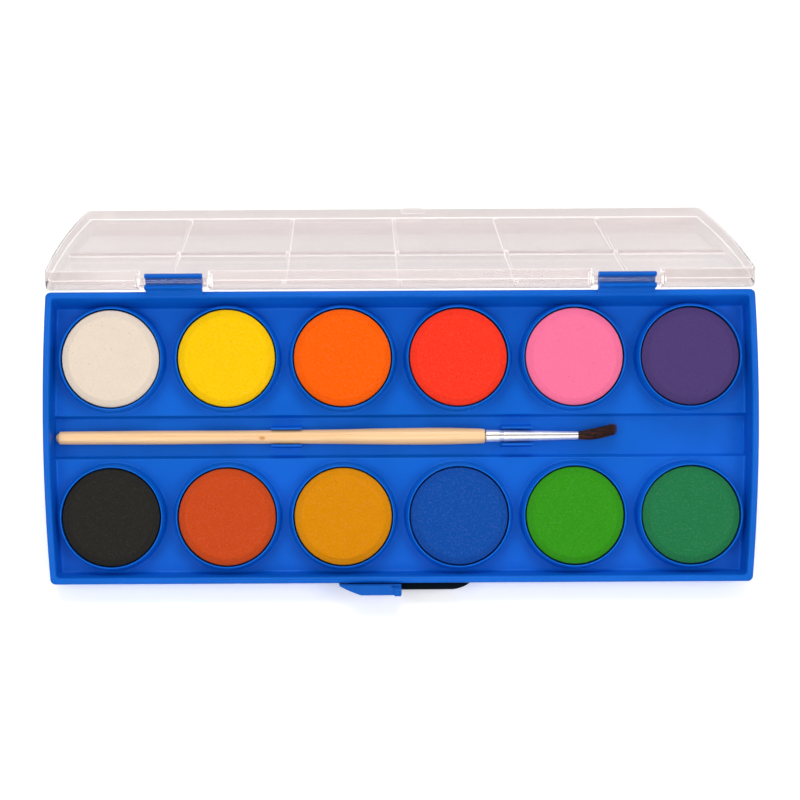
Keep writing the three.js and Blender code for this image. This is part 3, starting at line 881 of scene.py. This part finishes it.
HANDLE_RADII = [(0, 0), (0.25, 0.75), (0.8, 1.35), (1.9, 1.85), (4, 2.05), (30, 2.15), (61, 2.1),
                (83, 2.25), (100, 2.5), (114, 2.63), (122, 2.62), (130, 2.42)]
HANDLE_END_RADIUS = 2.25
FERRULE_RADIUS = 1.9
FERRULE_MOUTH = 1.25
FERRULE_WALL = 0.3
FERRULE_EDGE = 0.08
CRIMPS = (4.4, 5.1)
CRIMP_DEPTH = 0.22
CRIMP_REACH = 1 / 3
CRIMP_STEPS = 6
DARK_REFLECTION_Y = 0.25
TUFT_BELLY = 1.75
TUFT_TIP = 1.7
TUFT_BEND = 2.1
TUFT_BELLY_AT = 0.55
TUFT_ROOT_DEPTH = 1.2
HAIRS = 620
HAIR_SIDES = 5
HAIR_STEPS = 9
HAIR_SEED = 11
HEART_SHARE = 0.8
HEART_LEAN = 0.92
KNOT_PLACE = (-43.0, -0.3, 2.2)

brush_z = local_middle("brush_handle").z
handle_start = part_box("brush_handle")[0].x / MM
ferrule_start, ferrule_end = (corner.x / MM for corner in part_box("brush_ferrule"))
tuft_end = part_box("brush_tuft")[1].x / MM


def make_handle():
    length = ferrule_start - GAP - handle_start
    shoulder = arc(length - 0.5, HANDLE_END_RADIUS - 0.5, 0.5, 90, 0, 4)
    knots = [*HANDLE_RADII, shoulder[0]]
    profile = [(max(radius, 0), along) for along, radius in smooth_curve(knots, 5)]
    profile += [(radius, along) for along, radius in shoulder[1:]]
    tenon = FERRULE_MOUTH - FERRULE_WALL
    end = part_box("brush_handle")[1].x / MM - handle_start
    profile += [(tenon, length), (tenon, end), (0, end)]
    handle = lathe("brush_handle_wood", profile, 64, "X")
    handle.data.transform(Matrix.Translation((handle_start, 0, brush_z)))
    knot = TRAY @ (Vector(KNOT_PLACE) + Vector((0, 0, brush_z))) / MM
    return finished(handle, TRAY, "brush", varnished_wood(knot),
                    ["brush_handle"])


def make_ferrule():
    def radius_at(x):
        along = (x - ferrule_start) / (ferrule_end - ferrule_start)
        return lerp(FERRULE_RADIUS, FERRULE_MOUTH, along)

    outer = [(ferrule_start, radius_at(ferrule_start) - FERRULE_EDGE),
             (ferrule_start + 0.12, radius_at(ferrule_start))]
    for crimp in CRIMPS:
        for step in range(-CRIMP_STEPS, CRIMP_STEPS + 1):
            x = ferrule_start + crimp + CRIMP_REACH * step / CRIMP_STEPS
            dip = CRIMP_DEPTH * (0.5 + 0.5 * math.cos(math.pi * step / CRIMP_STEPS))
            outer.append((x, radius_at(x) - dip))
    outer += [(ferrule_end - 0.1, radius_at(ferrule_end)),
              (ferrule_end, radius_at(ferrule_end) - FERRULE_EDGE)]
    tenon_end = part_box("brush_handle")[1].x / MM
    inner = [(ferrule_end, radius_at(ferrule_end) - FERRULE_WALL + 0.05),
             (tenon_end, FERRULE_MOUTH), (ferrule_start, FERRULE_RADIUS - FERRULE_WALL)]
    ferrule = lathe("brush_ferrule_tube", [(r, x) for x, r in outer + inner], 72, "X")
    ferrule.data.transform(Matrix.Translation((0, 0, brush_z)))
    dark_reflection_at = TRAY @ Vector((0, DARK_REFLECTION_Y, brush_z)) / MM
    return finished(ferrule, TRAY, "brush", drawn_metal(dark_reflection_at),
                    ["brush_ferrule"])


def tuft_spread(t):
    """How far the hairs stand out from the middle, from root (0) to tip (1)."""
    root = FERRULE_MOUTH - FERRULE_WALL - 0.03
    if t < TUFT_BELLY_AT:
        return lerp(root, TUFT_BELLY, math.sin(math.pi / 2 * t / TUFT_BELLY_AT))
    return lerp(TUFT_BELLY, TUFT_TIP, ((t - TUFT_BELLY_AT) / (1 - TUFT_BELLY_AT)) ** 2)


def tuft_bend(t):
    return TUFT_BEND * t * t


def tuft_hairs(length):
    """Separate tapered hairs, each with its own place, length, lean and thickness."""
    dice = random.Random(HAIR_SEED)
    points, faces = [], []
    sides, steps = HAIR_SIDES, HAIR_STEPS
    for _ in range(HAIRS):
        turn = dice.uniform(0, 2 * math.pi)
        out = math.sqrt(dice.uniform(0.05, 1))
        reach = length * dice.uniform(0.86, 1.03) * (1 - 0.04 * out)
        lean = dice.uniform(0.85, 1.05)
        stray = Vector((0, dice.gauss(0, 0.2), dice.gauss(0, 0.16)))
        thick = dice.uniform(0.05, 0.08)
        first = len(points)
        for step in range(steps + 1):
            t = step / steps
            wide = tuft_spread(t) * out * 0.96
            x = ferrule_end - TUFT_ROOT_DEPTH + (reach + TUFT_ROOT_DEPTH) * t
            middle = Vector((x, tuft_bend(t) * lean, brush_z))
            middle += Vector((0, wide * math.cos(turn), wide * math.sin(turn))) + stray * t * t
            radius = thick * (1 - 0.75 * t * t)
            for side in range(sides):
                angle = 2 * math.pi * side / sides
                points.append(middle + Vector((0, math.cos(angle), math.sin(angle))) * radius)
        for step in range(steps):
            for side in range(sides):
                a = first + step * sides + side
                b = first + step * sides + (side + 1) % sides
                faces.append((a, b, b + sides, a + sides))
        faces.append(tuple(range(first, first + sides))[::-1])
        faces.append(tuple(range(first + steps * sides, first + (steps + 1) * sides)))
    return piece("hairs", points, faces)


def tuft_heart(length):
    """The solid middle of the tuft, a little inside the hairs."""
    root = ferrule_end - 1.0
    reach = length - 1.5
    steps = 15
    profile = [(0, root)]
    for step in range(steps):
        t = step / steps
        profile.append((tuft_spread(t) * HEART_SHARE * (1 - t**4), root + reach * t))
    profile.append((0, root + reach))
    heart = lathe("core", profile, 24, "X")
    for vertex in heart.data.vertices:
        along = max(vertex.co.x - ferrule_end, 0) / length
        vertex.co.y += tuft_bend(along) * HEART_LEAN
        vertex.co.z += brush_z
    return heart


def make_tuft():
    """Hairs over a solid heart, all leaning to +Y at the tip."""
    length = tuft_end - ferrule_end
    tuft = join("brush_tuft_hair", tuft_heart(length), tuft_hairs(length))
    return finished(tuft, TRAY, "brush", brown_hair(), ["brush_tuft"], 80)


# ---- Latch ----------------------------------------------------------------------------------

RAIL_Z = 7.1
RAIL_DEPTH = 1.85
RAIL_FRONT_HALF = 2.5
RAIL_BACK_HALF = 0.9
RAIL_TAPER = 5.7
SLIDER_DEPTH = 3.35
SLIDER_SKIN = 0.9
SLIDER_FOOT = 3.4
SLIDER_LIP = 1.0
SLIDER_TAPER = 7.45
SLIDER_TOP = LID_RIM + CATCH_HEIGHT + GAP + SLIDER_LIP
SLOT_LENGTH = 3.1
SLOT_DEPTH = 0.75
NUB_WIDTH = 2.2
NUB_HEIGHT = 0.25
NUB_RISE = 0.9
NUB_INSET = 0.2
LEFT_CURVE = (0.45, 0.62)
RIGHT_CURVE = (0.35, 0.8)

latch_back = -HALF_DEPTH - GAP
latch_steepness = (RAIL_FRONT_HALF - RAIL_BACK_HALF) / RAIL_DEPTH


def latch_end(a, b, depth, share):
    """A curved end of the plan from a to b; the share sets how full the curve is."""
    bend = (lerp(a[0], b[0], share[0]), -HALF_DEPTH - depth * share[1])
    steps = 8
    return [tuple(lerp(lerp(p, q, t / steps), lerp(q, r, t / steps), t / steps)
                  for p, q, r in zip(a, bend, b)) for t in range(steps + 1)]


def latch_plan(x0, x1, depth, left, right):
    """A plan whose ends draw in as they leave the tray; an end of 0 is square."""
    back, front = -HALF_DEPTH, -HALF_DEPTH - depth
    plan = [(x0, 0), *latch_end((x0, back), (x0 + left, front), depth, LEFT_CURVE)]
    if right:
        tail = latch_end((x1, back), (x1 - right, front), depth, RIGHT_CURVE)
        return [*plan, *reversed(tail), (x1, 0)]
    return [*plan, (x1, front), (x1, 0)]


def make_rail():
    low, high = (corner.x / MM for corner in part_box("latch_rail"))
    front = latch_back - RAIL_DEPTH
    section = [(latch_back, RAIL_Z - RAIL_BACK_HALF), (latch_back, RAIL_Z + RAIL_BACK_HALF),
               (front, RAIL_Z + RAIL_FRONT_HALF), (front, RAIL_Z - RAIL_FRONT_HALF)]
    rail = prism("latch_rail_strip", section, low, high)
    plan = latch_plan(low, high, RAIL_DEPTH + GAP, RAIL_TAPER, RAIL_TAPER)
    combine(rail, "INTERSECT", slab("rail_plan", plan, 0, TRAY_HEIGHT))
    black = moulded_plastic("black_plastic", linear(12, 22, 28), 0.42)
    return finished(rounded(rail, 0.12, 2, 30), TRAY, "tray", black,
                    ["latch_rail"])


def make_slider():
    low, high = (corner.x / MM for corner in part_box("latch_slider"))
    front = -HALF_DEPTH - SLIDER_DEPTH
    pocket = front + SLIDER_SKIN
    lip_half = RAIL_BACK_HALF + GAP * math.hypot(1, latch_steepness)
    pocket_half = RAIL_FRONT_HALF + GAP
    shoulder = latch_back - (pocket_half - lip_half) / latch_steepness
    slot_floor = LID_RIM - 2 * GAP
    ceiling = SLIDER_TOP - SLIDER_LIP
    section = [
        (latch_back, SLIDER_FOOT), (latch_back, RAIL_Z - lip_half),
        (shoulder, RAIL_Z - pocket_half), (pocket, RAIL_Z - pocket_half),
        (pocket, RAIL_Z + pocket_half), (shoulder, RAIL_Z + pocket_half),
        (latch_back, RAIL_Z + lip_half), (latch_back, slot_floor), (pocket, slot_floor),
        (pocket, ceiling), (latch_back, ceiling), (latch_back, SLIDER_TOP),
        (front, SLIDER_TOP), (front, SLIDER_FOOT),
    ]
    slider = prism("latch_slider_body", section, low, high)
    plan = latch_plan(low, high, SLIDER_DEPTH, SLIDER_TAPER, 0)
    combine(slider, "INTERSECT", slab("slider_plan", plan, 0, SLIDER_TOP + PAST))
    slot_back = latch_back - SLOT_DEPTH
    slot_end = block("slot_end", (high - SLOT_LENGTH, slot_back, ceiling - 0.1),
                     (high + PAST, latch_back + PAST, SLIDER_TOP + PAST))
    combine(slider, "DIFFERENCE", slot_end)
    rounded(slider, 0.14, 2, 30)
    nub_x = (high - NUB_WIDTH, high - NUB_INSET)
    nub_front = front - NUB_HEIGHT
    nub_top = SLIDER_TOP + NUB_RISE
    nub = block("nub", (nub_x[0], nub_front, SLIDER_FOOT + 1),
                (nub_x[1], front + SLIDER_SKIN / 2, nub_top))
    ridge = block("ridge", (nub_x[0], nub_front, SLIDER_TOP - SLIDER_LIP / 2),
                  (nub_x[1], slot_back - 0.15, nub_top))
    combine(slider, "UNION", rounded(nub, 0.2, 3, 60), rounded(ridge, 0.4, 4, 60))
    blue = moulded_plastic("latch_plastic", linear(6, 92, 190), 0.34)
    return finished(slider, TRAY, "slider", blue, ["latch_slider"])


# ---- Building -------------------------------------------------------------------------------

make_tray()
for colour_name, colour in PAINTS.items():
    make_tablet(colour_name, colour)
make_lid()
make_handle()
make_ferrule()
make_tuft()
make_rail()
make_slider()

# ---- Stage: floor, lamps, camera ------------------------------------------------------------

scene = bpy.context.scene
scene.view_settings.view_transform = "Standard"

FLOOR_HALF = 4.0
FLOOR_COLOUR = (1, 1, 1, 1)
FLOOR_LIFT = 0.3  # keeps the floor white to the eye, under a soft shadow
WORLD_LIGHT = 0.38
LAMP_TARGET = (0, 0, 0.03)
LAMPS = {  # place and size in metres, power in watts
    "key": ((-0.05, 0.35, 1.2), (0.6, 0.5), 4.5),
    "left": ((-0.72, -0.58, 1.0), (0.5, 0.5), 3.4),
    "right": ((0.77, -0.54, 1.0), (0.5, 0.5), 4.1),
    "front": ((0, -1.15, 0.82), (0.6, 0.4), 2.9),
}
SENSOR_WIDTH = 36
VIEW_WIDTH = 246.685  # what the picture takes in at LENS_DISTANCE, in millimetres
LENS_DISTANCE = 565.0
LENS_FOOT = Vector((-14.4, 11.4, 10.2))
LENS_SHIFT = 0.0575
LENS_ROLL = math.radians(-0.30)


def make_floor():
    mesh = bpy.data.meshes.new("floor")
    corners = [(-1, -1), (1, -1), (1, 1), (-1, 1)]
    mesh.from_pydata([(x * FLOOR_HALF, y * FLOOR_HALF, 0) for x, y in corners], [], [(0, 1, 2, 3)])
    floor = bpy.data.objects.new("floor", mesh)
    scene.collection.objects.link(floor)
    material = bpy.data.materials.new("floor")
    material.use_nodes = True
    shader = material.node_tree.nodes["Principled BSDF"]
    shader.inputs["Base Color"].default_value = FLOOR_COLOUR
    shader.inputs["Roughness"].default_value = 0.9
    shader.inputs["Specular IOR Level"].default_value = 0.1
    shader.inputs["Emission Color"].default_value = FLOOR_COLOUR
    path = material.node_tree.nodes.new("ShaderNodeLightPath")
    lift = material.node_tree.nodes.new("ShaderNodeMath")
    lift.operation = "MULTIPLY"
    lift.inputs[1].default_value = FLOOR_LIFT
    material.node_tree.links.new(path.outputs["Is Camera Ray"], lift.inputs[0])
    material.node_tree.links.new(lift.outputs[0], shader.inputs["Emission Strength"])
    mesh.materials.append(material)


def make_world():
    world = bpy.data.worlds.new("studio")
    scene.world = world
    world.use_nodes = True
    nodes, links = world.node_tree.nodes, world.node_tree.links
    path = nodes.new("ShaderNodeLightPath")
    seen = None
    for ray in ("Is Camera Ray", "Is Glossy Ray", "Is Transmission Ray"):
        if seen is None:
            seen = path.outputs[ray]
            continue
        add = nodes.new("ShaderNodeMath")
        add.operation = "MAXIMUM"
        links.new(seen, add.inputs[0])
        links.new(path.outputs[ray], add.inputs[1])
        seen = add.outputs[0]
    strength = nodes.new("ShaderNodeMapRange")
    strength.inputs["To Min"].default_value = WORLD_LIGHT
    strength.inputs["To Max"].default_value = 1.0
    links.new(seen, strength.inputs["Value"])
    background = nodes["Background"]
    background.inputs["Color"].default_value = (1, 1, 1, 1)
    links.new(strength.outputs[0], background.inputs["Strength"])


def make_lamp(name, place, size, power):
    light = bpy.data.lights.new(name, "AREA")
    light.shape = "RECTANGLE"
    light.size, light.size_y = size
    light.energy = power
    lamp = bpy.data.objects.new(name, light)
    scene.collection.objects.link(lamp)
    lamp.location = place
    lamp.rotation_euler = (Vector(LAMP_TARGET) - Vector(place)).to_track_quat("-Z", "Y").to_euler()


def make_camera():
    lens = bpy.data.cameras.new("camera")
    lens.sensor_width = SENSOR_WIDTH
    lens.lens = SENSOR_WIDTH * LENS_DISTANCE / VIEW_WIDTH
    lens.shift_x = LENS_SHIFT
    lens.clip_start = 0.01
    camera = bpy.data.objects.new("camera", lens)
    scene.collection.objects.link(camera)
    eye = TRAY @ (LENS_FOOT + Vector((0, 0, LENS_DISTANCE)))
    turn = Matrix((right, forward, up)).transposed() @ Matrix.Rotation(LENS_ROLL, 3, "Z")
    camera.matrix_world = Matrix.Translation(eye) @ turn.to_4x4()
    scene.camera = camera


make_floor()
make_world()
for lamp_name, settings in LAMPS.items():
    make_lamp(lamp_name, *settings)
make_camera()
